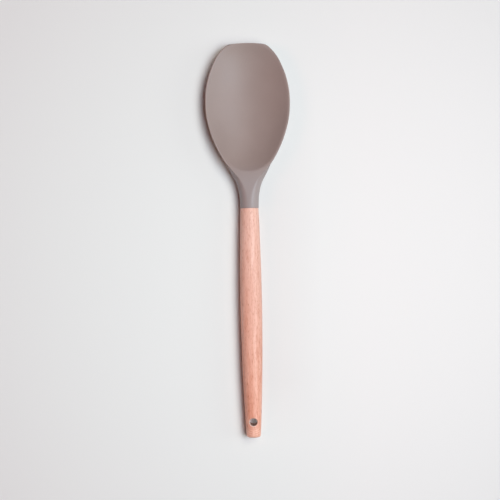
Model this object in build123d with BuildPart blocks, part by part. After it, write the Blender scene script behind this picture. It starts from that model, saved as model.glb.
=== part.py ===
from build123d import *
import os
from math import radians, sqrt, tan

# A silicone spoon spatula on a turned wooden handle, lying bowl up on a table.
# +Y runs along the tool to the tip of the head, +X across it and +Z up.
# The origin is on the table, under the middle of the tool. Lengths are in millimetres.

# Sizes of the head
head_length = 127.5
head_width = 65.5
neck_radius = 7.3
rim_height_at_tip = 12.2
rim_width = 1.3
rim_thickness = 1.6
bowl_depth = 9.6
facet_depth_at_joint = 0.25

# The tip of the head: a slightly arched edge between two rounded corners
tip_edge_width = 31.0
tip_edge_drop = 1.3
tip_corner_radius = 8.0
tip_flare_angle = 44.0

# Sizes of the handle
handle_length = 177.5
handle_top_radius = 7.0
belly_radius = 8.35
belly_from_joint = 75.0
end_radius = 5.5
end_dome_height = 0.9
end_rounding = 1.8
hanging_hole_radius = 2.75
hanging_hole_from_end = 12.7
hanging_hole_mouth_rounding = 0.7

# Sizes of the core inside the head, and of its glued tang
core_thickness = 1.5
core_cover = 1.0
core_paddle_width = 34.0
core_paddle_from_tip = 17.0
core_paddle_length = 76.0
stem_half_width_at_paddle = 7.0
stem_thickness_at_paddle = 1.0
stem_step = 0.15
tang_radius = 4.0
tang_length = 32.0
tang_nose_chamfer = 1.0
tang_groove_depth = 0.5
tang_groove_width = 2.0
tang_groove_spacing = 6.0
tang_groove_count = 4
glue_thickness = 0.25
glue_pocket_depth = 1.5

# How far a cutting tool runs past what it cuts
overrun = 6.0

# Each row is one section across the blade, and the bowl's surface there:
#   station: its distance from the tip, of the head's length
#   half width, of the widest
#   height of its keel, of the rim's height at the tip
#   depth of the bowl, of its full depth
#   curve of the bowl across, of its curve at the widest section
blade_shares = [
    (-0.008, 0.430, 0.890, -0.020, 0.85),
    (0.063, 0.666, 0.510, 0.390, 0.92),
    (0.157, 0.855, 0.190, 0.745, 1.03),
    (0.259, 0.968, 0.037, 0.945, 1.01),
    (0.357, 1.000, 0.000, 1.000, 1.00),
    (0.470, 0.960, 0.002, 0.985, 1.07),
    (0.580, 0.838, 0.015, 0.860, 1.26),
    (0.675, 0.667, 0.045, 0.600, 1.44),
    (0.722, 0.555, 0.080, 0.375, 1.48),
    (0.760, 0.440, 0.140, 0.135, 1.50),
    (0.800, 0.300, 0.260, -0.220, 1.50),
    (0.850, 0.140, 0.500, -0.700, 1.50),
]

# Each row is one ellipse across the neck, before the facet is cut on its front:
#   station: its distance from the tip, of the head's length
#   half width, from the neck's radius at 0 to half the head's width at 1
#   how far its crest stands over the facet, of the neck's radius
#   height of its underside, of the height under the round neck
neck_shares = [
    (0.620, 0.420, 0.600, 1.50),
    (0.665, 0.452, 0.600, 1.10),
    (0.710, 0.436, 0.540, 0.85),
    (0.753, 0.348, 0.420, 0.80),
    (0.800, 0.220, 0.270, 0.85),
    (0.850, 0.100, 0.150, 0.90),
    (0.900, 0.033, 0.055, 0.95),
    (0.950, 0.006, 0.014, 0.98),
    (1.000, 0.000, 0.000, 1.00),
]

# Where the sections of the bowl and of the core start and end, of the head's length
bowl_span_share = (-0.008, 0.80)
paddle_span_share = (0.10, 0.75)
stem_span_share = (0.56, 0.83)
blade_section_count = 20
neck_section_count = 12
paddle_section_count = 10
stem_section_count = 7

# Places worked out from the sizes
tip_y = (head_length + handle_length) / 2
joint_y = tip_y - head_length
end_y = joint_y - handle_length
axis_height = belly_radius
handle_axis = Axis((0, 0, axis_height), (0, 1, 0))
heel_height = axis_height - neck_radius
rim_height_at_joint = axis_height + neck_radius - facet_depth_at_joint
rim_slope = (rim_height_at_joint - rim_height_at_tip) / head_length
rim_plane = Plane(
    origin=(0, tip_y, rim_height_at_tip),
    x_dir=(1, 0, 0),
    z_dir=(0, rim_slope, 1),
)
bowl_curve = bowl_depth / (head_width / 2 - rim_width) ** 2
bore_radius = tang_radius + glue_thickness
bore_depth = tang_length + glue_pocket_depth
hanging_hole_y = end_y + hanging_hole_from_end


def stations(first, last, count):
    """Evenly spaced stations along the head, from the first to the last."""
    return [first + (last - first) * index / (count - 1) for index in range(count)]


def slope_at(row, neighbour, slope, span, column):
    """The slope at a row, of a parabola through its stretch and its neighbour."""
    gap = neighbour[0] - row[0]
    if gap == 0:
        return slope
    neighbour_slope = (neighbour[column] - row[column]) / gap
    return (slope * abs(gap) + neighbour_slope * span) / (abs(gap) + span)


def smooth_shares(table, station):
    """The shares at any station, on a smooth curve through the rows of a table."""
    index = max(i for i, row in enumerate(table[:-1]) if row[0] <= station or i == 0)
    start, end = table[index], table[index + 1]
    before, after = table[max(index - 1, 0)], table[min(index + 2, len(table) - 1)]
    span = end[0] - start[0]
    t = (station - start[0]) / span
    values = []
    for column in range(1, len(start)):
        slope = (end[column] - start[column]) / span
        values.append(
            (2 * t**3 - 3 * t**2 + 1) * start[column]
            + (t**3 - 2 * t**2 + t) * span * slope_at(start, before, slope, span, column)
            + (3 * t**2 - 2 * t**3) * end[column]
            + (t**3 - t**2) * span * slope_at(end, after, slope, span, column)
        )
    return values


def station_plane(station):
    """The plane across the tool at a station of the head, with its Y axis up."""
    return Plane.XZ.offset(station * head_length - tip_y)


def rim_height(station):
    """Height of the plane that holds the rim and the front facet."""
    return rim_height_at_tip + rim_slope * station * head_length


def parabola(half_width, end_height, middle_height):
    """A parabola across the tool, through its middle and both ends."""
    return Bezier(
        (-half_width, end_height),
        (0, 2 * middle_height - end_height),
        (half_width, end_height),
    )


def blade_section(station):
    """A parabola under the blade, with upright sides that run past the rim's plane."""
    half_width_share, keel_share, _, _ = smooth_shares(blade_shares, station)
    half_width = half_width_share * head_width / 2
    side = rim_height(station) - rim_thickness
    lid = rim_height(station) + overrun
    with BuildSketch(station_plane(station)) as section:
        with BuildLine():
            parabola(half_width, side, keel_share * rim_height_at_tip)
            Polyline((half_width, side), (half_width, lid), (-half_width, lid), (-half_width, side))
        make_face()
    return section.sketch


def neck_section(station):
    """An ellipse across the neck. At the joint it is the round end that meets the handle."""
    spread, crest, underside_share = smooth_shares(neck_shares, station)
    half_width = neck_radius + spread * (head_width / 2 - neck_radius)
    top = rim_height(station) + facet_depth_at_joint + crest * neck_radius
    underside = underside_share * heel_height
    with BuildSketch(station_plane(station)) as section:
        with Locations((0, (top + underside) / 2)):
            Ellipse(half_width, (top - underside) / 2)
    return section.sketch


def bowl_floor(station):
    """Height of the bowl's floor on the middle line."""
    return rim_height(station) - smooth_shares(blade_shares, station)[2] * bowl_depth


def bowl_section(station):
    """A parabola that holds the bowl's surface at one station, closed over the rim."""
    floor = bowl_floor(station)
    lid = rim_height(station) + overrun
    half_width = sqrt((lid - floor) / (smooth_shares(blade_shares, station)[3] * bowl_curve))
    with BuildSketch(station_plane(station)) as section:
        with BuildLine():
            parabola(half_width, lid, floor)
            Line((half_width, lid), (-half_width, lid))
        make_face()
    return section.sketch


def paddle_section(station):
    """A strip of even thickness that runs under the bowl's surface at one station."""
    top = bowl_floor(station) - core_cover
    half_width = core_paddle_width / 2 + overrun
    end = top + smooth_shares(blade_shares, station)[3] * bowl_curve * half_width**2
    with BuildSketch(station_plane(station)) as section:
        with BuildLine():
            parabola(half_width, end, top)
            Line((half_width, end), (half_width, end - core_thickness))
            parabola(half_width, end - core_thickness, top - core_thickness)
            Line((-half_width, end - core_thickness), (-half_width, end))
        make_face()
    return section.sketch


def stem_section(station):
    """An ellipse across the core's stem, which grows from the paddle into the round tang."""
    first, last = stem_span_share
    growth = (station - first) / (last - first)
    growth = growth**2 * (3 - 2 * growth)
    half_width = stem_half_width_at_paddle + growth * (tang_radius - stem_half_width_at_paddle)
    half_thickness = (stem_thickness_at_paddle / 2) * (1 - growth) + tang_radius * growth
    top = min(bowl_floor(station) - core_cover - stem_step, axis_height + tang_radius)
    with BuildSketch(station_plane(station)) as section:
        with Locations((0, top - half_thickness)):
            Ellipse(half_width, half_thickness)
    return section.sketch


blade_stations = stations(blade_shares[0][0], blade_shares[-1][0], blade_section_count)
neck_stations = stations(neck_shares[0][0], neck_shares[-1][0], neck_section_count)
bowl_stations = stations(*bowl_span_share, blade_section_count)
paddle_stations = stations(*paddle_span_share, paddle_section_count)
stem_stations = stations(*stem_span_share, stem_section_count)

# Core: a curved paddle under the bowl, a stem through the neck and a grooved tang
with BuildPart() as nylon_core:
    loft([paddle_section(station) for station in paddle_stations])
    with BuildSketch(Plane.XY):
        with Locations((0, tip_y - core_paddle_from_tip - core_paddle_length / 2)):
            Ellipse(core_paddle_width / 2, core_paddle_length / 2)
    extrude(amount=rim_height_at_joint + overrun, mode=Mode.INTERSECT)
    loft([stem_section(station) for station in stem_stations])
    with BuildSketch(station_plane(stem_stations[-1])):
        with Locations((0, axis_height)):
            Circle(tang_radius)
    extrude(amount=head_length * (1 - stem_stations[-1]) + tang_length)
    chamfer(nylon_core.edges().sort_by(Axis.Y)[0], tang_nose_chamfer)
    with BuildSketch(Plane.XY.offset(axis_height)):
        with Locations((tang_radius, joint_y - tang_length / 2)):
            with GridLocations(0, tang_groove_spacing, 1, tang_groove_count):
                Rectangle(2 * tang_groove_depth, tang_groove_width)
    revolve(axis=handle_axis, mode=Mode.SUBTRACT)

# Head: blade and neck, cut at the tip, at the rim's plane, by the bowl and by the core
with BuildPart() as silicone_head:
    loft([blade_section(station) for station in blade_stations])
    with BuildSketch(Plane.XY):
        with BuildLine():
            corner = (tip_edge_width / 2, tip_y - tip_edge_drop)
            reach = head_length + overrun
            flare = (corner[0] + reach * tan(radians(tip_flare_angle)), corner[1] - reach)
            ThreePointArc((-corner[0], corner[1]), (0, tip_y), corner)
            Polyline(corner, flare, (-flare[0], flare[1]), (-corner[0], corner[1]))
        wedge = make_face()
        fillet(wedge.vertices().group_by(Axis.Y)[-1], tip_corner_radius)
    extrude(amount=rim_height_at_joint + 2 * overrun, mode=Mode.INTERSECT)
    loft([neck_section(station) for station in neck_stations])
    split(bisect_by=rim_plane, keep=Keep.BOTTOM)
    loft([bowl_section(station) for station in bowl_stations], mode=Mode.SUBTRACT)
    add(nylon_core.part, mode=Mode.SUBTRACT)

# Handle: a turned body, with the tang's bore at its top and the hanging hole near its end
with BuildPart() as handle:
    with BuildSketch(Plane.XY.offset(axis_height)):
        with BuildLine():
            belly_y = joint_y - belly_from_joint
            rim_y = end_y + end_dome_height
            Line((0, joint_y), (handle_top_radius, joint_y))
            Bezier(
                (handle_top_radius, joint_y),
                (belly_radius, (joint_y + belly_y) / 2),
                (belly_radius, belly_y),
            )
            Bezier(
                (belly_radius, belly_y),
                (belly_radius, (belly_y + rim_y) / 2),
                (end_radius, rim_y),
            )
            Bezier((end_radius, rim_y), (end_radius / 2, end_y), (0, end_y))
            Line((0, end_y), (0, joint_y))
        profile = make_face()
        fillet(profile.vertices().sort_by_distance((end_radius, rim_y, axis_height))[0], end_rounding)
    revolve(axis=handle_axis)
    with BuildSketch(Plane.XZ.offset(-joint_y)):
        with Locations((0, axis_height)):
            Circle(bore_radius)
    extrude(amount=bore_depth, mode=Mode.SUBTRACT)
    with BuildSketch(Plane.XY):
        with Locations((0, hanging_hole_y)):
            Circle(hanging_hole_radius)
    extrude(amount=axis_height + belly_radius, mode=Mode.SUBTRACT)
    mouths = handle.edges(Select.LAST).filter_by(GeomType.LINE, reverse=True)
    fillet(mouths, hanging_hole_mouth_rounding)

# Glue: it fills what the tang leaves free in the bore
with BuildPart() as glue_bond:
    with BuildSketch(Plane.XZ.offset(-joint_y)):
        with Locations((0, axis_height)):
            Circle(bore_radius)
    extrude(amount=bore_depth)
    add(nylon_core.part, mode=Mode.SUBTRACT)

os.makedirs("parts", exist_ok=True)

handle.part.label = "handle"
export_step(handle.part, "parts/handle.step")
silicone_head.part.label = "silicone_head"
export_step(silicone_head.part, "parts/silicone_head.step")
nylon_core.part.label = "nylon_core"
export_step(nylon_core.part, "parts/nylon_core.step")
glue_bond.part.label = "glue_bond"
export_step(glue_bond.part, "parts/glue_bond.step")
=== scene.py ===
"""A silicone spoon spatula on a turned wooden handle, lying bowl up on a pale table.

+Y runs along the tool to the tip of the head, +X across it and +Z up. Sizes in the shape
functions are in millimetres, and every mesh is made in metres.
"""
import math

import bmesh
import bpy
import numpy as np
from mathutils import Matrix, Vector


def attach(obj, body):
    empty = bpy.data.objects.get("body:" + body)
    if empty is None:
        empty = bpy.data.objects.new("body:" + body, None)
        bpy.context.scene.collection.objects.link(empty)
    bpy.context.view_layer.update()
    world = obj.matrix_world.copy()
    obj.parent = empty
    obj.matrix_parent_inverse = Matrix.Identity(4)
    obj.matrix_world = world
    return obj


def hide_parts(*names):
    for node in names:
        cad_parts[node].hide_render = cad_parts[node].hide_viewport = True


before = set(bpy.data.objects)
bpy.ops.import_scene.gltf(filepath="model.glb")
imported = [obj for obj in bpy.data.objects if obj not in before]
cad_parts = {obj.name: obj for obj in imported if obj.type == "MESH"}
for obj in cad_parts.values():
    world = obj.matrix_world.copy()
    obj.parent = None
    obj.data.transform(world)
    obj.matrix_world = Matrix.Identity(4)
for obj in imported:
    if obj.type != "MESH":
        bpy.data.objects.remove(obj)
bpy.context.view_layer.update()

MM = 0.001

# Sizes of the head, as in the CAD model
HEAD_LENGTH = 127.5
HEAD_WIDTH = 65.5
NECK_RADIUS = 7.3
RIM_HEIGHT_AT_TIP = 12.2
RIM_WIDTH = 1.3
RIM_THICKNESS = 1.6
BOWL_DEPTH = 9.6
FACET_DEPTH_AT_JOINT = 0.25
TIP_EDGE_WIDTH = 31.0
TIP_EDGE_DROP = 1.3
TIP_FLARE_ANGLE = math.radians(44.0)

# Sizes of the handle, as in the CAD model
HANDLE_LENGTH = 177.5
HANDLE_TOP_RADIUS = 7.0
BELLY_RADIUS = 8.35
BELLY_FROM_JOINT = 75.0
END_RADIUS = 5.5
END_DOME_HEIGHT = 0.9
HOLE_RADIUS = 2.75
HOLE_FROM_END = 12.7
HOLE_MOUTH_ROUNDING = 0.7
BORE_RADIUS = 4.25
BORE_DEPTH = 33.5

# Stations are shares of the head's length from the tip. Per station, the shares of the blade's
# half width, of the rim's height that the keel stands at, of the bowl's depth and of its curve.
BLADE_SHARES = np.array([
    (-0.008, 0.430, 0.890, -0.020, 0.85),
    (0.063, 0.666, 0.510, 0.390, 0.92),
    (0.157, 0.855, 0.190, 0.745, 1.03),
    (0.259, 0.968, 0.037, 0.945, 1.01),
    (0.357, 1.000, 0.000, 1.000, 1.00),
    (0.470, 0.960, 0.002, 0.985, 1.07),
    (0.580, 0.838, 0.015, 0.860, 1.26),
    (0.675, 0.667, 0.045, 0.600, 1.44),
    (0.722, 0.555, 0.080, 0.375, 1.48),
    (0.760, 0.440, 0.140, 0.135, 1.50),
    (0.800, 0.300, 0.260, -0.220, 1.50),
    (0.850, 0.140, 0.500, -0.700, 1.50),
])

# Per station, how far the neck's half width is on its way out to the blade's, how far its crest
# lies over the facet in neck radii, and its underside as a share of the heel's height.
NECK_SHARES = np.array([
    (0.620, 0.420, 0.600, 1.50),
    (0.665, 0.452, 0.600, 1.10),
    (0.710, 0.436, 0.540, 0.85),
    (0.753, 0.348, 0.420, 0.80),
    (0.800, 0.220, 0.270, 0.85),
    (0.850, 0.100, 0.150, 0.90),
    (0.900, 0.033, 0.055, 0.95),
    (0.950, 0.006, 0.014, 0.98),
    (1.000, 0.000, 0.000, 1.00),
])

TIP_Y = (HEAD_LENGTH + HANDLE_LENGTH) / 2
JOINT_Y = TIP_Y - HEAD_LENGTH
END_Y = JOINT_Y - HANDLE_LENGTH
AXIS_Z = BELLY_RADIUS
HEEL_HEIGHT = AXIS_Z - NECK_RADIUS
RIM_SLOPE = (AXIS_Z + NECK_RADIUS - FACET_DEPTH_AT_JOINT - RIM_HEIGHT_AT_TIP) / HEAD_LENGTH
BOWL_CURVE = BOWL_DEPTH / (HEAD_WIDTH / 2 - RIM_WIDTH) ** 2
BOWL_EDGE_SOFTNESS = 0.35


# Shape functions

def smooth_shares(table, station):
    """The columns of a table at any stations, on a smooth curve through its rows."""
    station = np.clip(np.atleast_1d(np.asarray(station, float)), table[0, 0], table[-1, 0])
    x = table[:, 0]
    y = table[:, 1:]
    span = np.diff(x)
    chord = np.diff(y, axis=0) / span[:, None]
    slope = np.empty_like(y)
    slope[0], slope[-1] = chord[0], chord[-1]
    slope[1:-1] = (
        (chord[:-1] * span[1:, None] + chord[1:] * span[:-1, None])
        / (span[1:] + span[:-1])[:, None]
    )
    i = np.clip(np.searchsorted(x, station, side="right") - 1, 0, len(span) - 1)
    t = ((station - x[i]) / span[i])[:, None]
    h = span[i][:, None]
    return (
        (2 * t**3 - 3 * t**2 + 1) * y[i] + (t**3 - 2 * t**2 + t) * h * slope[i]
        + (3 * t**2 - 2 * t**3) * y[i + 1] + (t**3 - t**2) * h * slope[i + 1]
    )


def rim_height(s):
    """Height of the plane of the rim and the front facet, s millimetres from the tip."""
    return RIM_HEIGHT_AT_TIP + RIM_SLOPE * s


def smooth_step(value, start, end):
    """Rises smoothly from 0 at the start to 1 at the end."""
    share = np.clip((value - start) / (end - start), 0, 1)
    return share * share * (3 - 2 * share)


def soft_min(a, b, k):
    """The smaller of the two, rounded where they cross."""
    return 0.5 * (a + b - np.sqrt((a - b) ** 2 + k * k))


def soft_max(a, b, k):
    """The larger of the two, rounded where they cross."""
    return 0.5 * (a + b + np.sqrt((a - b) ** 2 + k * k))


def top_height(x, s):
    """Height of the head's upper surface: the bowl, and the rim or facet round it."""
    shares = smooth_shares(BLADE_SHARES, s / HEAD_LENGTH)
    bowl = rim_height(s) - shares[:, 2] * BOWL_DEPTH + shares[:, 3] * BOWL_CURVE * x * x
    return soft_min(rim_height(s), bowl, BOWL_EDGE_SOFTNESS)


def blade_underside(x, s):
    """Height of the blade's lower surface."""
    shares = smooth_shares(BLADE_SHARES, s / HEAD_LENGTH)
    half = shares[:, 0] * HEAD_WIDTH / 2
    keel = np.maximum(shares[:, 1] * RIM_HEIGHT_AT_TIP, 0)
    side = rim_height(s) - RIM_THICKNESS
    return keel + (side - keel) * (x / half) ** 2


def resample(points, at):
    """Points of a polyline at given distances along it."""
    step = np.linalg.norm(np.diff(points, axis=0), axis=1)
    run = np.concatenate([[0], np.cumsum(step)])
    at = np.clip(at, 0, run[-1])
    return np.stack([np.interp(at, run, points[:, k]) for k in range(points.shape[1])], axis=1)


def length_of(points):
    return float(np.linalg.norm(np.diff(points, axis=0), axis=1).sum())


def bell(sigma, step):
    """The weights of a Gaussian on an even step, and how many lie on each side of its middle."""
    reach = int(round(3.5 * sigma / step))
    weights = np.exp(-0.5 * (np.arange(-reach, reach + 1) * step / sigma) ** 2)
    return weights / weights.sum(), reach


def blur(points, sigma, step, mirrored=False):
    """Rounds the corners of an evenly stepped polyline.

    A mirrored polyline goes on as its own reflection in the plane X = 0 at both its ends.
    Any other one keeps both its ends as they are.
    """
    weights, reach = bell(sigma, step)
    if mirrored:
        flip = np.array([-1] + [1] * (points.shape[1] - 1))
        before = points[reach:0:-1] * flip
        after = points[-2:-reach - 2:-1] * flip
    else:
        before = np.repeat(points[:1], reach, 0)
        after = np.repeat(points[-1:], reach, 0)
    padded = np.concatenate([before, points, after])
    columns = [np.convolve(padded[:, k], weights, "valid") for k in range(points.shape[1])]
    soft = np.stack(columns, axis=1)
    if mirrored:
        return soft
    index = np.arange(len(points))
    near_end = np.minimum(index, len(points) - 1 - index) * step
    keep = np.clip((near_end - 3.0 * sigma) / (2.0 * sigma), 0, 1)[:, None]
    return points * (1 - keep) + soft * keep


# The head

FAN_CENTRE = 34.0      # how far from the tip the fan of sections round the tip is centred
FAN_STEP = 0.55        # spacing of those sections along the outline
ROW_STEP = 0.55        # spacing of the sections across the blade and neck
OUTLINE_STEP = 0.1
OUTLINE_OVERRUN = 8.0  # how far the tip's outline is drawn past the fan's centre
FLARE_LENGTH = 14.0    # enough for the flare at the tip's corner to meet the blade's side
TIP_SOFTNESS = 2.1

# A section's samples: close together by the rim's corner, in sections of the full length
EDGE_STEPS = (0, 0.14, 0.28, 0.42, 0.56, 0.72, 0.9, 1.1, 1.32, 1.58, 1.9, 2.3, 2.8, 3.4)
FULL_LENGTH = 8.0
TOP_COUNT = 60
SIDE_COUNT = 60
SECTION_STEP = 0.08

# A section's outer boundary is measured along rays from a point under the rim's plane
RAY_CENTRE_DROP = 0.8
RAY_START = math.radians(60)
RAY_SWEEP = math.radians(150)

EDGE_SOFTNESS = 0.30
RIDGE_SOFTNESS = 1.2   # of the facet's ridges at the joint, reached between the next two distances
RIDGE_SOFT_FROM = 103.0
RIDGE_SOFT_TO = 121.0
NECK_BLEND = 0.9       # how softly the neck grows out of the blade
BLEND_IN_TO = 0.70     # the stations between which it is at its softest
BLEND_OUT_FROM = 0.80
SHOULDER_SOFTNESS = 4.5        # of the neck's shoulders under the blade, along the tool
SHOULDER_FROM = (62.0, 74.0)   # where that sets in and where it ends, from the tip
SHOULDER_TO = (103.0, 92.0)
JOINT_ROUNDING = 0.35
FACE_RING_SHARES = (0.8, 0.55)     # sizes of the rings across the neck's end


def tip_outline():
    """The outline round the tip in the plane of the table, from its middle to FAN_CENTRE."""
    corner = np.array([TIP_EDGE_WIDTH / 2, TIP_EDGE_DROP])
    bulge = np.linspace(0, 1, 80)
    edge = np.stack([corner[0] * bulge, corner[1] * bulge**2], axis=1)
    run = np.linspace(0, FLARE_LENGTH, 120)[1:]
    flare = corner + np.stack([run * math.tan(TIP_FLARE_ANGLE), run], axis=1)
    half = smooth_shares(BLADE_SHARES, flare[:, 1] / HEAD_LENGTH)[:, 0] * HEAD_WIDTH / 2
    flare = flare[flare[:, 0] < half]
    s = np.linspace(flare[-1, 1], FAN_CENTRE + OUTLINE_OVERRUN, 200)[1:]
    side = np.stack([smooth_shares(BLADE_SHARES, s / HEAD_LENGTH)[:, 0] * HEAD_WIDTH / 2, s], axis=1)
    line = np.concatenate([edge, flare, side])
    mirrored = line[::-1] * np.array([-1, 1])
    line = np.concatenate([mirrored[:-1], line])
    line = resample(line, np.arange(0, length_of(line), OUTLINE_STEP))
    line = blur(line, TIP_SOFTNESS, OUTLINE_STEP)
    line = line[line[:, 0] >= 0]
    line[0, 0] = 0.0
    cut = np.argmax(line[:, 1] > FAN_CENTRE)
    line = line[:cut]
    half = smooth_shares(BLADE_SHARES, FAN_CENTRE / HEAD_LENGTH)[0, 0] * HEAD_WIDTH / 2
    return np.concatenate([line, [[half, FAN_CENTRE]]])


def side_distances(length):
    """Sample distances from the rim's corner down the side: close together at first."""
    scale = min(1.0, length / FULL_LENGTH)
    near = np.array(EDGE_STEPS) * scale
    far = np.linspace(near[-1], length, SIDE_COUNT - len(near) + 1)[1:]
    return np.concatenate([near, far])


def top_distances(length):
    """Sample distances from the middle out to the rim's corner."""
    scale = min(1.0, length / FULL_LENGTH)
    near = np.array(EDGE_STEPS[1:]) * scale
    far = np.linspace(length, near[-1], TOP_COUNT - len(near))
    return length - np.concatenate([far, near[::-1][1:]])


def section_points(top, side, softness=EDGE_SOFTNESS, mirrored=False):
    """One half section: the polylines over the top and down the side, rounded and sampled."""
    corner = length_of(top)
    line = np.concatenate([top, side[1:]])
    total = length_of(line)
    line = resample(line, np.linspace(0, total, int(total / SECTION_STEP) + 1))
    line = blur(line, softness, SECTION_STEP, mirrored)
    total_after = length_of(line)
    corner *= total_after / total
    at = np.concatenate([top_distances(corner), corner + side_distances(total_after - corner)])
    return resample(line, at)


def fan_section(edge_point):
    """The half section from the fan's centre out to a point of the outline and back below."""
    x1, s1 = edge_point
    t = np.linspace(0, 1, 260)
    x = x1 * t
    s = FAN_CENTRE + (s1 - FAN_CENTRE) * t
    top = np.stack([x, s, top_height(x, s)], axis=1)
    below = np.stack([x, s, blade_underside(x, s)], axis=1)[::-1]
    wall = np.linspace(0, 1, 24)[1:-1, None]
    side = np.concatenate([top[-1:], top[-1] + wall * (below[0] - top[-1]), below])
    return section_points(top, side)


def blade_reach(s, centre, dx, dz):
    """How far the blade's outer boundary lies from a section's ray centre, along each ray."""
    shares = smooth_shares(BLADE_SHARES, s / HEAD_LENGTH)[0]
    half = shares[0] * HEAD_WIDTH / 2
    keel = max(shares[1] * RIM_HEIGHT_AT_TIP, 0)
    side = rim_height(s) - RIM_THICKNESS
    with np.errstate(divide="ignore", invalid="ignore"):
        wall = half / np.maximum(dx, 1e-9)
        a = (side - keel) * dx**2 / half**2
        b = -dz
        c = keel - centre
        root = np.sqrt(np.maximum(b * b - 4 * a * c, 0))
        below = np.where(a > 1e-9, (-b + root) / (2 * a + 1e-12), c / np.minimum(dz, -1e-9))
    on_wall = centre + wall * dz >= side
    return np.where(on_wall, wall, below)


def neck_reach(s, centre, dx, dz):
    """The same for the neck, whose sections are ellipses."""
    shares = smooth_shares(NECK_SHARES, s / HEAD_LENGTH)[0]
    half = NECK_RADIUS + shares[0] * (HEAD_WIDTH / 2 - NECK_RADIUS)
    high = rim_height(s) + FACET_DEPTH_AT_JOINT + shares[1] * NECK_RADIUS
    low = shares[2] * HEEL_HEIGHT
    middle, rise = (high + low) / 2, (high - low) / 2
    a = (dx / half) ** 2 + (dz / rise) ** 2
    b = 2 * dz * (centre - middle) / rise**2
    c = ((centre - middle) / rise) ** 2 - 1
    return (-b + np.sqrt(b * b - 4 * a * c)) / (2 * a)


def side_line(s):
    """The outer boundary of a section across the tool, from the rim's plane to the keel."""
    rim = float(rim_height(s))
    station = s / HEAD_LENGTH
    centre = rim - RAY_CENTRE_DROP
    angle = RAY_START - RAY_SWEEP * np.linspace(0, 1, 900)
    dx, dz = np.cos(angle), np.sin(angle)
    on_blade = station < BLADE_SHARES[-1, 0]
    on_neck = station > NECK_SHARES[0, 0]
    if on_blade and on_neck:
        fade_in = smooth_step(station, NECK_SHARES[0, 0], BLEND_IN_TO)
        fade_out = smooth_step(station, BLADE_SHARES[-1, 0], BLEND_OUT_FROM)
        softness = NECK_BLEND * fade_in * fade_out
        reach = soft_max(blade_reach(s, centre, dx, dz), neck_reach(s, centre, dx, dz), softness)
    elif on_blade:
        reach = blade_reach(s, centre, dx, dz)
    else:
        reach = neck_reach(s, centre, dx, dz)
    height = np.maximum(centre + reach * dz, 0)
    points = np.stack([reach * dx, np.full_like(dx, s), height], axis=1)
    last = int(np.nonzero(points[:, 2] > rim)[0][-1])
    share = (rim - points[last, 2]) / (points[last + 1, 2] - points[last, 2])
    start = points[last] + share * (points[last + 1] - points[last])
    points = np.concatenate([[start], points[last + 1:]])
    points[-1, 0] = 0.0
    return points


def row_section(s):
    """The half section straight across the tool, s millimetres from the tip."""
    side = side_line(s)
    x = np.linspace(0, side[0, 0], 300)
    top = np.stack([x, np.full_like(x, s), top_height(x, np.full_like(x, s))], axis=1)
    side[0, 2] = top[-1, 2]
    share = smooth_step(s, RIDGE_SOFT_FROM, RIDGE_SOFT_TO)
    softness = EDGE_SOFTNESS + (RIDGE_SOFTNESS - EDGE_SOFTNESS) * share
    return section_points(top, side, softness, mirrored=True)


def soften_shoulders(rows):
    """Smooths the sections along the tool, below the rim, where the neck leaves the blade."""
    rows = np.array(rows)
    weights, reach = bell(SHOULDER_SOFTNESS, ROW_STEP)
    padded = np.concatenate([np.repeat(rows[:1], reach, 0), rows, np.repeat(rows[-1:], reach, 0)])
    soft = sum(weight * padded[i:i + len(rows)] for i, weight in enumerate(weights))
    s = rows[:, 0, 1]
    soft[:, :, 1] = s[:, None]
    along = smooth_step(s, *SHOULDER_FROM) * smooth_step(s, *SHOULDER_TO)
    below = smooth_step(np.arange(rows.shape[1]), TOP_COUNT, TOP_COUNT + len(EDGE_STEPS))
    return rows + (soft - rows) * along[:, None, None] * below[None, :, None]


def neck_end(last):
    """The rings that round the neck's end at the joint, and those across its flat face."""
    centre = np.array([0, HEAD_LENGTH, AXIS_Z])
    rings = []
    for angle in np.radians((22.5, 45, 67.5, 90)):
        inset = JOINT_ROUNDING * (1 - math.cos(angle)) / NECK_RADIUS
        ring = centre + (last - centre) * np.array([1 - inset, 1, 1 - inset])
        ring[:, 1] = HEAD_LENGTH - JOINT_ROUNDING * (1 - math.sin(angle))
        rings.append(ring)
    face = rings[-1]
    for share in FACE_RING_SHARES:
        ring = centre + (face - centre) * share
        ring[:, 1] = HEAD_LENGTH
        rings.append(ring)
    return rings


def head_sections():
    """All half sections, round the tip and then down the blade and neck to the joint."""
    outline = tip_outline()
    total = length_of(outline)
    edge = resample(outline, np.linspace(0, total, int(total / FAN_STEP) + 1))
    fan = [fan_section(point) for point in edge[:-1]]
    count = int((HEAD_LENGTH - FAN_CENTRE) / ROW_STEP)
    rows = [row_section(s) for s in np.linspace(FAN_CENTRE, HEAD_LENGTH - JOINT_ROUNDING, count)]
    rows = list(soften_shoulders(rows))
    return np.array(fan + rows + neck_end(rows[-1]))


def new_object(name, vertices, faces):
    """An object of that mesh, in the scene."""
    mesh = bpy.data.meshes.new(name)
    mesh.from_pydata([tuple(v) for v in vertices], [], faces)
    mesh.update()
    obj = bpy.data.objects.new(name, mesh)
    bpy.context.scene.collection.objects.link(obj)
    return obj


MEETING_DISTANCE = 1e-6


def clean_mesh(obj):
    """Joins the vertices that meet, turns every face outwards and shades them smooth."""
    bm = bmesh.new()
    bm.from_mesh(obj.data)
    bmesh.ops.remove_doubles(bm, verts=bm.verts, dist=MEETING_DISTANCE)
    bmesh.ops.dissolve_degenerate(bm, edges=bm.edges, dist=MEETING_DISTANCE)
    bmesh.ops.recalc_face_normals(bm, faces=bm.faces)
    bm.to_mesh(obj.data)
    bm.free()
    for polygon in obj.data.polygons:
        polygon.use_smooth = True


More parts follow.
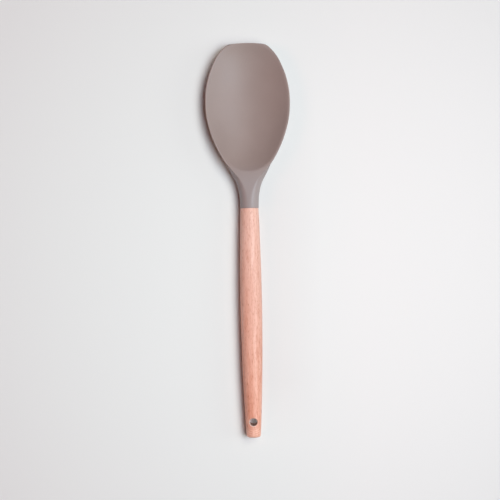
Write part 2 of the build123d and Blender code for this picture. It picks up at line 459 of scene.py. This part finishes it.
def make_head():
    """The silicone head as one closed mesh, mirrored about the middle of the tool."""
    sections = head_sections()
    rows, columns = sections.shape[:2]
    half = sections.reshape(-1, 3) * MM
    half[:, 1] = TIP_Y * MM - half[:, 1]
    faces = []
    for i in range(rows - 1):
        for j in range(columns - 1):
            a = i * columns + j
            faces.append((a, a + 1, a + columns + 1, a + columns))
    count = len(half)
    other = half * np.array([-1, 1, 1])
    faces += [tuple(v + count for v in reversed(face)) for face in faces]
    last = (rows - 1) * columns
    middle = 2 * count
    for j in range(columns - 1):
        faces.append((last + j, last + j + 1, middle))
        faces.append((count + last + j + 1, count + last + j, middle))
    centre = np.array([[0, JOINT_Y * MM, AXIS_Z * MM]])
    obj = new_object("head_skin", np.concatenate([half, other, centre]), faces)
    clean_mesh(obj)
    return obj


# The handle

AROUND = 112           # how many vertices go round the handle
BORE_ROWS = 12
BODY_ROWS = 240
END_ROWS = 44
TOP_ROUNDING = 0.25    # at the joint
END_SOFTNESS = 0.85
END_STEP = 0.1
END_GAP = 0.2          # between the patch round the hole and the first point of the end's profile

# Round each mouth of the hole the handle's even mesh gives way to a patch of rings
PATCH_HALF = 14        # how many columns wide the patch is on each side
PATCH_ROWS = 12
PATCH_STEP = 0.78
PATCH_RINGS = 8
MOUTH_RINGS = 7
WALL_RINGS = 9


def bezier(p0, p1, p2, count):
    """Points of a quadratic curve from the first point to the last."""
    t = np.linspace(0, 1, count)[:, None]
    p0, p1, p2 = np.array(p0, float), np.array(p1, float), np.array(p2, float)
    return (1 - t) ** 2 * p0 + 2 * t * (1 - t) * p1 + t * t * p2


def handle_profile():
    """Radius and Y along the handle's side, and then along the dome of its end."""
    belly_y = JOINT_Y - BELLY_FROM_JOINT
    rim_y = END_Y + END_DOME_HEIGHT
    upper = bezier((HANDLE_TOP_RADIUS, JOINT_Y), (BELLY_RADIUS, (JOINT_Y + belly_y) / 2),
                   (BELLY_RADIUS, belly_y), 400)
    lower = bezier((BELLY_RADIUS, belly_y), (BELLY_RADIUS, (belly_y + rim_y) / 2),
                   (END_RADIUS, rim_y), 400)
    dome = bezier((END_RADIUS, rim_y), (END_RADIUS / 2, END_Y), (0, END_Y), 60)
    return np.concatenate([upper, lower[1:]]), dome


def handle_radius(y):
    """The handle's radius at any Y."""
    body, _ = handle_profile()
    return np.interp(-np.asarray(y, float), -body[:, 1], body[:, 0])


def end_rings(from_y):
    """Radius and Y of the rings from there over the handle's rounded end."""
    body, dome = handle_profile()
    end = np.concatenate([
        [[handle_radius(from_y), from_y]],
        body[body[:, 1] < from_y - END_GAP],
        dome[1:],
    ])
    end = resample(end, np.arange(0, length_of(end), END_STEP))
    end = blur(end, END_SOFTNESS, END_STEP)
    end = resample(end, np.linspace(0, length_of(end), END_ROWS))[1:]
    end[-1, 0] = 0.0
    return [tuple(p) for p in end]


def handle_rings():
    """Radius and Y of all rings, from the bore's bottom out over the top and down to the end.

    Also the first and the last ring of the patches round the hole.
    """
    hole_y = END_Y + HOLE_FROM_END
    patch_top = hole_y + PATCH_STEP * PATCH_ROWS / 2
    patch_low = hole_y - PATCH_STEP * PATCH_ROWS / 2
    bore_y = JOINT_Y - BORE_DEPTH
    rings = [(0.0, bore_y), (BORE_RADIUS, bore_y)]
    rings += [(BORE_RADIUS, y) for y in np.linspace(bore_y, JOINT_Y, BORE_ROWS)[1:]]
    rings += [(HANDLE_TOP_RADIUS - TOP_ROUNDING, JOINT_Y)]
    for angle in np.radians((30, 60)):
        inset = TOP_ROUNDING * (1 - math.sin(angle))
        rings.append((HANDLE_TOP_RADIUS - inset, JOINT_Y - TOP_ROUNDING * (1 - math.cos(angle))))
    body = np.linspace(JOINT_Y - TOP_ROUNDING, patch_top, BODY_ROWS)
    patch = np.linspace(patch_top, patch_low, PATCH_ROWS + 1)[1:]
    first = len(rings) + len(body) - 1
    rings += [(float(handle_radius(y)), y) for y in np.concatenate([body, patch])]
    last = len(rings) - 1
    return rings + end_rings(patch_low), first, last


def in_patch(column):
    """Whether a column of faces lies in one of the two patches, where it meets their rows."""
    top = column < PATCH_HALF or column >= AROUND - PATCH_HALF
    low = AROUND // 2 - PATCH_HALF <= column < AROUND // 2 + PATCH_HALF
    return top or low


def patch_border(sign, first, last):
    """Vertices on a patch's border, in order round the hole, as seen from above."""
    middle = 0 if sign > 0 else AROUND // 2
    columns = [(middle + sign * j) % AROUND for j in range(-PATCH_HALF, PATCH_HALF + 1)]
    rows = list(range(first, last + 1))
    border = [(rows[0], column) for column in columns]
    border += [(row, columns[-1]) for row in rows[1:]]
    border += [(rows[-1], column) for column in reversed(columns[:-1])]
    border += [(row, columns[0]) for row in reversed(rows[1:-1])]
    return [row * AROUND + column for row, column in border]


def band(ring, following):
    """The faces between two closed rings of as many vertices."""
    count = len(ring)
    return [(ring[a], ring[(a + 1) % count], following[(a + 1) % count], following[a])
            for a in range(count)]


def mouth_rings(border):
    """Plan and height over the axis of each ring from a patch's border into the hole."""
    hole_y = END_Y + HOLE_FROM_END
    beta = np.arctan2(border[:, 1] - hole_y, border[:, 0])

    def circle(radius):
        return np.stack([radius * np.cos(beta), hole_y + radius * np.sin(beta)], axis=1)

    def surface(plan):
        return np.sqrt(np.maximum(handle_radius(plan[:, 1]) ** 2 - plan[:, 0] ** 2, 0))

    wide = HOLE_RADIUS + HOLE_MOUTH_ROUNDING
    inner = circle(wide)
    rings = []
    for n in range(1, PATCH_RINGS + 1):
        t = n / PATCH_RINGS
        plan = border[:, :2] * (1 - t) + inner * t
        rings.append((plan, surface(plan)))
    for n in range(1, MOUTH_RINGS + 1):
        angle = math.radians(90) * n / MOUTH_RINGS
        drop = HOLE_MOUTH_ROUNDING * (1 - math.cos(angle))
        plan = circle(wide - HOLE_MOUTH_ROUNDING * math.sin(angle))
        rings.append((plan, surface(inner) - drop))
    return rings


def make_handle():
    """The turned handle with its bore and its hanging hole, whose mouths are rounded."""
    rings, first, last = handle_rings()
    vertices = []
    for radius, y in rings:
        for angle in np.arange(AROUND) * 2 * math.pi / AROUND:
            vertices.append((radius * math.sin(angle), y, AXIS_Z + radius * math.cos(angle)))
    faces = []
    for i in range(len(rings) - 1):
        ring = range(i * AROUND, (i + 1) * AROUND)
        following = range((i + 1) * AROUND, (i + 2) * AROUND)
        cut_out = first <= i < last
        faces += [face for j, face in enumerate(band(ring, following)) if not (cut_out and in_patch(j))]

    def add_ring(previous, plan, height):
        """Adds a ring of vertices and joins it to the one before."""
        now = range(len(vertices), len(vertices) + len(plan))
        vertices.extend((p[0], p[1], AXIS_Z + h) for p, h in zip(plan, height))
        faces.extend(band(previous, now))
        return now

    innermost = []
    for sign in (1, -1):
        ring = patch_border(sign, first, last)
        for plan, height in mouth_rings(np.array([vertices[v] for v in ring])):
            ring = add_ring(ring, plan, sign * height)
        innermost.append((ring, plan, height))
    (ring, plan, high), (low_ring, _, low) = innermost
    for n in range(1, WALL_RINGS):
        t = n / WALL_RINGS
        ring = add_ring(ring, plan, high * (1 - t) - low * t)
    faces += band(ring, low_ring)
    obj = new_object("handle_wood", np.array(vertices) * MM, faces)
    clean_mesh(obj)
    return obj


# Materials

class Nodes:
    """A short way to build a material's nodes."""

    def __init__(self, name):
        self.material = bpy.data.materials.new(name)
        self.material.use_nodes = True
        self.tree = self.material.node_tree
        self.tree.nodes.clear()
        output = self.tree.nodes.new("ShaderNodeOutputMaterial")
        self.shader = self.tree.nodes.new("ShaderNodeBsdfPrincipled")
        self.tree.links.new(self.shader.outputs["BSDF"], output.inputs["Surface"])

    def feed(self, target, value):
        """Sets an input to a number or a colour, or links it to another node's output."""
        if isinstance(value, (int, float)):
            target.default_value = value
        elif isinstance(value, tuple):
            target.default_value = (*value, 1)
        else:
            self.tree.links.new(value, target)

    def shade(self, name, value):
        """Feeds an input of the shader."""
        self.feed(self.shader.inputs[name], value)

    def place(self):
        """The shaded point's own coordinates X, Y and Z, in metres."""
        source = self.tree.nodes.new("ShaderNodeTexCoord")
        split = self.tree.nodes.new("ShaderNodeSeparateXYZ")
        self.tree.links.new(source.outputs["Object"], split.inputs["Vector"])
        return split.outputs["X"], split.outputs["Y"], split.outputs["Z"]

    def math(self, operation, a, b=None):
        node = self.tree.nodes.new("ShaderNodeMath")
        node.operation = operation
        self.feed(node.inputs[0], a)
        if b is not None:
            self.feed(node.inputs[1], b)
        return node.outputs[0]

    def product(self, a, b):
        return self.math("MULTIPLY", a, b)

    def square_sum(self, a, b):
        return self.math("ADD", self.product(a, a), self.product(b, b))

    def wave(self, value, period):
        """A sine of the value, from -1 to 1."""
        return self.math("SINE", self.product(value, 2 * math.pi / period))

    def mix(self, factor, a, b, blend="MIX"):
        node = self.tree.nodes.new("ShaderNodeMix")
        node.data_type = "RGBA"
        node.blend_type = blend
        for index, value in ((0, factor), (6, a), (7, b)):
            self.feed(node.inputs[index], value)
        return node.outputs[2]

    def darken(self, factor, base, tint):
        """Multiplies the base by the tint, as far as the factor says."""
        return self.mix(factor, base, tint, "MULTIPLY")

    def noise(self, scale, detail=2.0, roughness=0.5, distortion=0.0, shift=(0, 0, 0)):
        """A cloudy pattern with a scale for each axis, per metre."""
        source = self.tree.nodes.new("ShaderNodeTexCoord")
        mapping = self.tree.nodes.new("ShaderNodeMapping")
        mapping.inputs["Scale"].default_value = scale
        mapping.inputs["Location"].default_value = shift
        self.tree.links.new(source.outputs["Object"], mapping.inputs["Vector"])
        node = self.tree.nodes.new("ShaderNodeTexNoise")
        node.inputs["Scale"].default_value = 1.0
        node.inputs["Detail"].default_value = detail
        node.inputs["Roughness"].default_value = roughness
        node.inputs["Distortion"].default_value = distortion
        self.tree.links.new(mapping.outputs["Vector"], node.inputs["Vector"])
        return node.outputs["Fac"]

    def ramp(self, value, low, high, to_low=0.0, to_high=1.0):
        """Runs from to_low at low to to_high at high, and stays there beyond them."""
        node = self.tree.nodes.new("ShaderNodeMapRange")
        numbers = {"From Min": low, "From Max": high, "To Min": to_low, "To Max": to_high}
        for name, number in numbers.items():
            node.inputs[name].default_value = number
        self.tree.links.new(value, node.inputs["Value"])
        return node.outputs["Result"]

    def bump(self, height, strength, distance):
        node = self.tree.nodes.new("ShaderNodeBump")
        node.inputs["Strength"].default_value = strength
        node.inputs["Distance"].default_value = distance
        self.tree.links.new(height, node.inputs["Height"])
        self.tree.links.new(node.outputs["Normal"], self.shader.inputs["Normal"])


CLOUD_RANGE = (0.3, 0.7)       # the part of a cloudy pattern's values that is used
SILICONE_DARK, SILICONE_PALE = (0.309, 0.241, 0.222), (0.325, 0.255, 0.236)
# Painted sheen: the neck's paler, greyer tint.
NECK_SHEEN_TINT = (0.332, 0.278, 0.273)
NECK_ALONG = (0.060, 0.045)    # where along the tool the blade's look becomes the neck's, in metres
NECK_SLEEKNESS = 0.08          # how much less rough the neck is
SPECK_TINT = (0.38, 0.30, 0.28)
SPECKS = (0.35, 0.75, 0.0, 0.14)
SILICONE_ROUGHNESS = (0.49, 0.55)
COOL_SHEEN = (0.78, 0.94, 1.0)
INDEX_OF_REFRACTION = 1.45     # of silicone and of the wood's surface alike


def silicone_material():
    """Warm taupe-grey silicone: satin, faintly mottled, with a very fine moulded grain, and a painted
    sheen that makes the neck paler and greyer.
    """
    n = Nodes("silicone")
    _, y, _ = n.place()
    cloud = n.noise((60, 60, 60), 3.0)
    speck = n.noise((2600, 2600, 2600), 2.0)
    neck = n.ramp(y, *NECK_ALONG)
    tint = n.mix(n.ramp(cloud, *CLOUD_RANGE), SILICONE_DARK, SILICONE_PALE)
    # Painted sheen: the neck is mixed towards a paler, greyer tint.
    tint = n.mix(neck, tint, NECK_SHEEN_TINT)
    n.shade("Base Color", n.mix(n.ramp(speck, *SPECKS), tint, SPECK_TINT))
    matt = n.ramp(cloud, *CLOUD_RANGE, *SILICONE_ROUGHNESS)
    n.shade("Roughness", n.math("SUBTRACT", matt, n.product(neck, NECK_SLEEKNESS)))
    n.shade("IOR", INDEX_OF_REFRACTION)
    n.shade("Specular IOR Level", 1.0)
    n.shade("Specular Tint", COOL_SHEEN)
    n.bump(speck, 0.10, 0.00008)
    return n.material


PITH_X, PITH_Z = 0.030, -0.050     # where the trunk's centre would be, in metres
LAYER_PERIOD = 0.0021              # of the growth layers, in metres
LAYER_SWAY = 0.0075
# Each pattern: its scales across, along and in height, its detail, roughness, distortion and shift
SWAY_PATTERN = ((60, 24, 60), 3.0, 0.55)
STREAK_PATTERN = ((420, 30, 420), 3.0, 0.6, 0.3, (0.3, 0.0, 0.7))
THREAD_PATTERN = ((850, 120, 850), 2.0, 0.6, 0.4, (0.5, 0.1, 0.2))
FINE_PATTERN = ((1900, 45, 1900), 2.0, 0.6)
FLECK_PATTERN = ((2000, 340, 2000), 1.0, 0.5, 0.0, (0.1, 0.2, 0.3))
# Each figure: the pattern's values where it starts and where it is full, and its strength there
LAYERS = (-0.2, 1.0, 0.0, 0.36)
STREAKS = (0.42, 0.72, 0.0, 0.75)
PALE_STREAKS = (0.45, 0.28, 0.0, 0.22)
THREADS = (0.46, 0.74, 0.0, 0.80)
FINE_LINES = (0.48, 0.78, 0.0, 0.40)
FLECKS = (0.56, 0.72, 0.0, 0.75)
TURNING_MARKS = (-0.5, 1.0, 0.0, 1.0)
WOOD_ROUGHNESS = (0.3, 0.8, 0.42, 0.54)
# The base colours, and the tints that the figures multiply them by
END_COLOUR, TOP_COLOUR = (0.955, 0.520, 0.396), (0.985, 0.662, 0.566)
# Painted shade: this tint darkens the handle's +X side, which the lamps light.
LIT_SIDE_SHADE_TINT = (0.82, 0.79, 0.78)
# Painted shade: this tint makes the handle's -X side, away from the lamps, redder.
SHADED_SIDE_TINT = (1.0, 0.94, 0.91)
LAYER_TINT = (0.88, 0.76, 0.70)
STREAK_TINT = (0.86, 0.72, 0.66)
THREAD_TINT = (0.80, 0.62, 0.54)
FINE_TINT = (0.80, 0.66, 0.60)
FLECK_TINT = (0.74, 0.56, 0.48)
# Colours that take the base's place
PALE_STREAK_COLOUR = (0.99, 0.70, 0.60)
TURNED_COLOUR = (1.0, 0.72, 0.60)
# Painted highlight: the pale colour of the hole's mouth.
MOUTH_HIGHLIGHT_COLOUR = (1.0, 0.86, 0.80)
# Raw end grain and painted shade: the dark colour of the hole's wall.
WALL_GRAIN_AND_SHADE_COLOUR = (0.32, 0.20, 0.15)
# Where each of these changes starts and ends, in metres
COLOUR_ALONG = (-0.13, 0.03)       # from the end's colour to the top's
LIVELY_ALONG = (-0.13, -0.02)      # the figure is strongest towards the end
LIT_SIDE_SHADE_ACROSS = (-0.007, 0.007)     # painted shade: darker towards +X, the side the lamps light
SHADED_SIDE_ACROSS = (0.001, -0.006)       # painted shade: redder towards -X, away from the lamps
SHADED_SIDE_ALONG = (0.010, -0.030)        # how far up that side the painted shade reaches
MOUTH_LIT_ACROSS = (0.001, -0.003)      # how the painted highlight on the hole's mouth grows from one side to the other
TURNING_PERIOD = 0.0016            # of the fine marks left by turning the end
TURNED_ALONG = ((END_Y + 9.0) * MM, (END_Y + 6.0) * MM)
HOLE_Y = (END_Y + HOLE_FROM_END) * MM
# Distances from the hole's axis: its mouth with a painted highlight, and its raw wall with painted
# shade
MOUTH_TO = (HOLE_RADIUS + HOLE_MOUTH_ROUNDING + 0.5) * MM
MOUTH_FROM = (HOLE_RADIUS + HOLE_MOUTH_ROUNDING - 0.1) * MM
WALL_FROM = (HOLE_RADIUS + 0.15) * MM
# How strongly each of these shows where it is full
LIVELY_STRENGTHS = (1.0, 0.6)
MOUTH_LIT_STRENGTHS = (0.15, 1.0)
TURNED_STRENGTH = 0.50
MOUTH_HIGHLIGHT_STRENGTH = 0.60
WALL_GRAIN_AND_SHADE_STRENGTH = 0.85


def beech_material():
    """Turned beech: growth layers that surface as long soft figures, streaks and short flecks."""
    n = Nodes("beech")
    x, y, z = n.place()
    sway = n.noise(*SWAY_PATTERN)
    streak = n.noise(*STREAK_PATTERN)
    thread = n.noise(*THREAD_PATTERN)
    fine = n.noise(*FINE_PATTERN)
    fleck = n.noise(*FLECK_PATTERN)
    pith = n.square_sum(n.math("SUBTRACT", x, PITH_X), n.math("SUBTRACT", z, PITH_Z))
    layer = n.wave(n.math("ADD", n.math("SQRT", pith), n.product(sway, LAYER_SWAY)), LAYER_PERIOD)
    lively = n.ramp(y, *LIVELY_ALONG, *LIVELY_STRENGTHS)
    base = n.mix(n.ramp(y, *COLOUR_ALONG), END_COLOUR, TOP_COLOUR)
    # Painted shade: darker towards +X, the side the lamps light.
    base = n.darken(n.ramp(x, *LIT_SIDE_SHADE_ACROSS), base, LIT_SIDE_SHADE_TINT)
    # Painted shade: redder on the -X side, away from the lamps, towards the end.
    base = n.darken(n.product(n.ramp(x, *SHADED_SIDE_ACROSS), n.ramp(y, *SHADED_SIDE_ALONG)), base, SHADED_SIDE_TINT)
    base = n.darken(n.ramp(layer, *LAYERS), base, LAYER_TINT)
    base = n.darken(n.product(n.ramp(streak, *STREAKS), lively), base, STREAK_TINT)
    base = n.mix(n.ramp(streak, *PALE_STREAKS), base, PALE_STREAK_COLOUR)
    base = n.darken(n.product(n.ramp(thread, *THREADS), lively), base, THREAD_TINT)
    base = n.darken(n.ramp(fine, *FINE_LINES), base, FINE_TINT)
    base = n.darken(n.ramp(fleck, *FLECKS), base, FLECK_TINT)

    # The end's turning marks run round the hole, as does the painted highlight on its mouth
    drop = n.math("SUBTRACT", y, HOLE_Y)
    spread = n.math("SQRT", n.square_sum(x, drop))
    turned = n.ramp(y, *TURNED_ALONG, 0.0, TURNED_STRENGTH)
    turning = n.wave(spread, TURNING_PERIOD)
    base = n.mix(n.product(n.ramp(turning, *TURNING_MARKS), turned), base, TURNED_COLOUR)
    # Painted highlight: the hole's mouth is paler, most on the side facing the lamps.
    mouth_lit_side = n.ramp(n.math("ADD", x, drop), *MOUTH_LIT_ACROSS, *MOUTH_LIT_STRENGTHS)
    mouth = n.product(n.ramp(spread, MOUTH_TO, MOUTH_FROM, 0.0, MOUTH_HIGHLIGHT_STRENGTH), mouth_lit_side)
    base = n.mix(mouth, base, MOUTH_HIGHLIGHT_COLOUR)
    # The hole's wall: raw end grain, darkened further by painted shade.
    wall = n.ramp(spread, MOUTH_FROM, WALL_FROM, 0.0, WALL_GRAIN_AND_SHADE_STRENGTH)
    n.shade("Base Color", n.mix(wall, base, WALL_GRAIN_AND_SHADE_COLOUR))
    n.shade("Roughness", n.ramp(fine, *WOOD_ROUGHNESS))
    n.shade("IOR", INDEX_OF_REFRACTION)
    n.shade("Specular IOR Level", 0.75)
    n.bump(n.math("ADD", fine, n.product(turning, turned)), 0.14, 0.0001)
    return n.material


def plain_material(name, low, high, roughness):
    """A hidden moulded or cured material: faintly mottled and finely grained."""
    n = Nodes(name)
    cloud = n.noise((220, 220, 220), 4.0)
    n.shade("Base Color", n.mix(n.ramp(cloud, *CLOUD_RANGE), low, high))
    n.shade("Roughness", roughness)
    n.bump(cloud, 0.2, 0.0001)
    return n.material


PALE_Y = -0.02                 # where along the tool's line the painted light on the table is palest, in metres
PALE_REACH = 0.273             # how far from there it is as dark as it gets
LIT_ACROSS = (0.01, 0.09)     # where painted light makes it a little paler and warmer, towards the lamps
SHADE_STRIP_ACROSS = (0.007, 0.055)   # the strip of painted shade beside the tool
SHADE_STRIP_ALONG = (0.11, 0.155)     # where that strip fades out
# Painted light: the table's colours from its palest middle and lamp side out to its darker edges.
PALE_COLOUR, LIT_COLOUR = (0.799, 0.842, 0.840), (0.843, 0.856, 0.857)
FAR_COLOUR = (0.726, 0.740, 0.744)
# Painted shade: the tint of the strip beside the tool.
SHADE_STRIP_TINT = (0.928, 0.902, 0.908)
GRAIN_COLOUR = (0.6, 0.6, 0.6)
GRAIN_STRENGTH = 0.03


def floor_material():
    """The table, with painted light and shade: palest by the tool's middle and towards the lamps,
    slowly darker all round, and with a strip of painted shade beside the tool.
    """
    n = Nodes("table_top")
    x, y, _ = n.place()
    grain = n.noise((900, 900, 900), 2.0)
    # Painted light: paler towards the lamps and by the tool's middle, darker all round.
    tint = n.mix(n.ramp(x, *LIT_ACROSS), PALE_COLOUR, LIT_COLOUR)
    square = n.square_sum(x, n.math("SUBTRACT", y, PALE_Y))
    tint = n.mix(n.ramp(square, 0.0, PALE_REACH ** 2), tint, FAR_COLOUR)
    # Painted shade: a darker strip on the table beside the tool's +X side.
    beside = n.product(n.ramp(x, *SHADE_STRIP_ACROSS, 1.0, 0.0), n.ramp(x, 0.0, SHADE_STRIP_ACROSS[0]))
    painted_shade = n.product(beside, n.ramp(n.math("ABSOLUTE", y), *SHADE_STRIP_ALONG, 1.0, 0.0))
    tint = n.darken(painted_shade, tint, SHADE_STRIP_TINT)
    tint = n.mix(n.ramp(grain, *CLOUD_RANGE, 0.0, GRAIN_STRENGTH), tint, GRAIN_COLOUR)
    n.shade("Base Color", tint)
    n.shade("Roughness", 0.9)
    n.shade("Specular IOR Level", 0.0)
    return n.material


# Build

head = make_head()
head.data.materials.append(silicone_material())
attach(head, "root")
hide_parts("silicone_head")

handle = make_handle()
handle.data.materials.append(beech_material())
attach(handle, "root")
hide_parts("handle")

hidden = {
    "nylon_core": plain_material("nylon", (0.58, 0.56, 0.50), (0.66, 0.64, 0.58), 0.5),
    "glue_bond": plain_material("glue", (0.55, 0.45, 0.25), (0.62, 0.52, 0.31), 0.4),
}
for name, material in hidden.items():
    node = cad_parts[name]
    node.data.materials.clear()
    node.data.materials.append(material)

# Stage, lights and camera

FLOOR_SIZE = 14.0              # in metres, so that a low view ends on it too
LIGHT_DISTANCE = 2.2
LIGHT_SIZE = 0.9
LIGHT_TARGET = (0, 0, 0.01)
# elevation, azimuth, power, colour, whether gloss mirrors it
LIGHTS = {
    "window_high": (75, 0, 20.9, (0.84, 0.90, 1.0), False),
    "window_low": (60, 0, 15.7, (0.825, 0.90, 1.0), True),
    "window_edge": (25, 0, 6.0, (1.0, 0.98, 0.93), True),
    "wall_far": (60, 45, 12.0, (1.0, 0.88, 0.72), False),
    "wall_near": (60, 315, 8.2, (1.0, 0.95, 0.81), True),
    "fill": (45, 180, 5.7, (1.0, 0.38, 0.30), True),
}
ROOM_COLOUR = (0.006, 0.006, 0.006)
SENSOR_WIDTH = 36.0            # in millimetres, as the lens is
CAMERA_HEIGHT = 0.95
VIEW_HEIGHT = 0.010            # where the frame is as wide as FRAME_WIDTH, over the table
FRAME_WIDTH = 0.3864
PICTURE_CENTRE = (-0.0002, -0.0073)
PICTURE_ROLL = math.radians(-1.09)

bpy.ops.mesh.primitive_plane_add(size=FLOOR_SIZE, location=(0, 0, 0))
floor = bpy.context.object
floor.name = "table_top"
floor.data.materials.append(floor_material())


def towards(elevation, azimuth):
    """A point on the lights' sphere, azimuth counted from +X towards +Y."""
    elevation, azimuth = math.radians(elevation), math.radians(azimuth)
    flat = math.cos(elevation) * LIGHT_DISTANCE
    return flat * math.cos(azimuth), flat * math.sin(azimuth), math.sin(elevation) * LIGHT_DISTANCE


def area_light(name, location, power, colour, mirrored):
    """A soft round lamp that shines on the tool."""
    data = bpy.data.lights.new(name, "AREA")
    data.shape = "DISK"
    data.size = LIGHT_SIZE
    data.energy = power
    data.color = colour
    light = bpy.data.objects.new(name, data)
    bpy.context.scene.collection.objects.link(light)
    light.location = location
    direction = np.array(LIGHT_TARGET, float) - np.array(location, float)
    light.rotation_euler = Vector(direction).to_track_quat("-Z", "Y").to_euler()
    light.visible_glossy = mirrored


for name, (elevation, azimuth, power, colour, mirrored) in LIGHTS.items():
    area_light(name, towards(elevation, azimuth), power, colour, mirrored)

world = bpy.data.worlds.new("room")
bpy.context.scene.world = world
world.use_nodes = True
background = world.node_tree.nodes["Background"]
background.inputs["Color"].default_value = (*ROOM_COLOUR, 1)
background.inputs["Strength"].default_value = 1.0

camera_data = bpy.data.cameras.new("camera")
camera_data.sensor_width = SENSOR_WIDTH
camera_data.lens = SENSOR_WIDTH * (CAMERA_HEIGHT - VIEW_HEIGHT) / FRAME_WIDTH
camera_data.clip_start = 0.01
camera = bpy.data.objects.new("camera", camera_data)
bpy.context.scene.collection.objects.link(camera)
camera.location = (*PICTURE_CENTRE, CAMERA_HEIGHT)
camera.rotation_euler = (0, 0, PICTURE_ROLL)
bpy.context.scene.camera = camera
bpy.context.scene.view_settings.view_transform = "Standard"
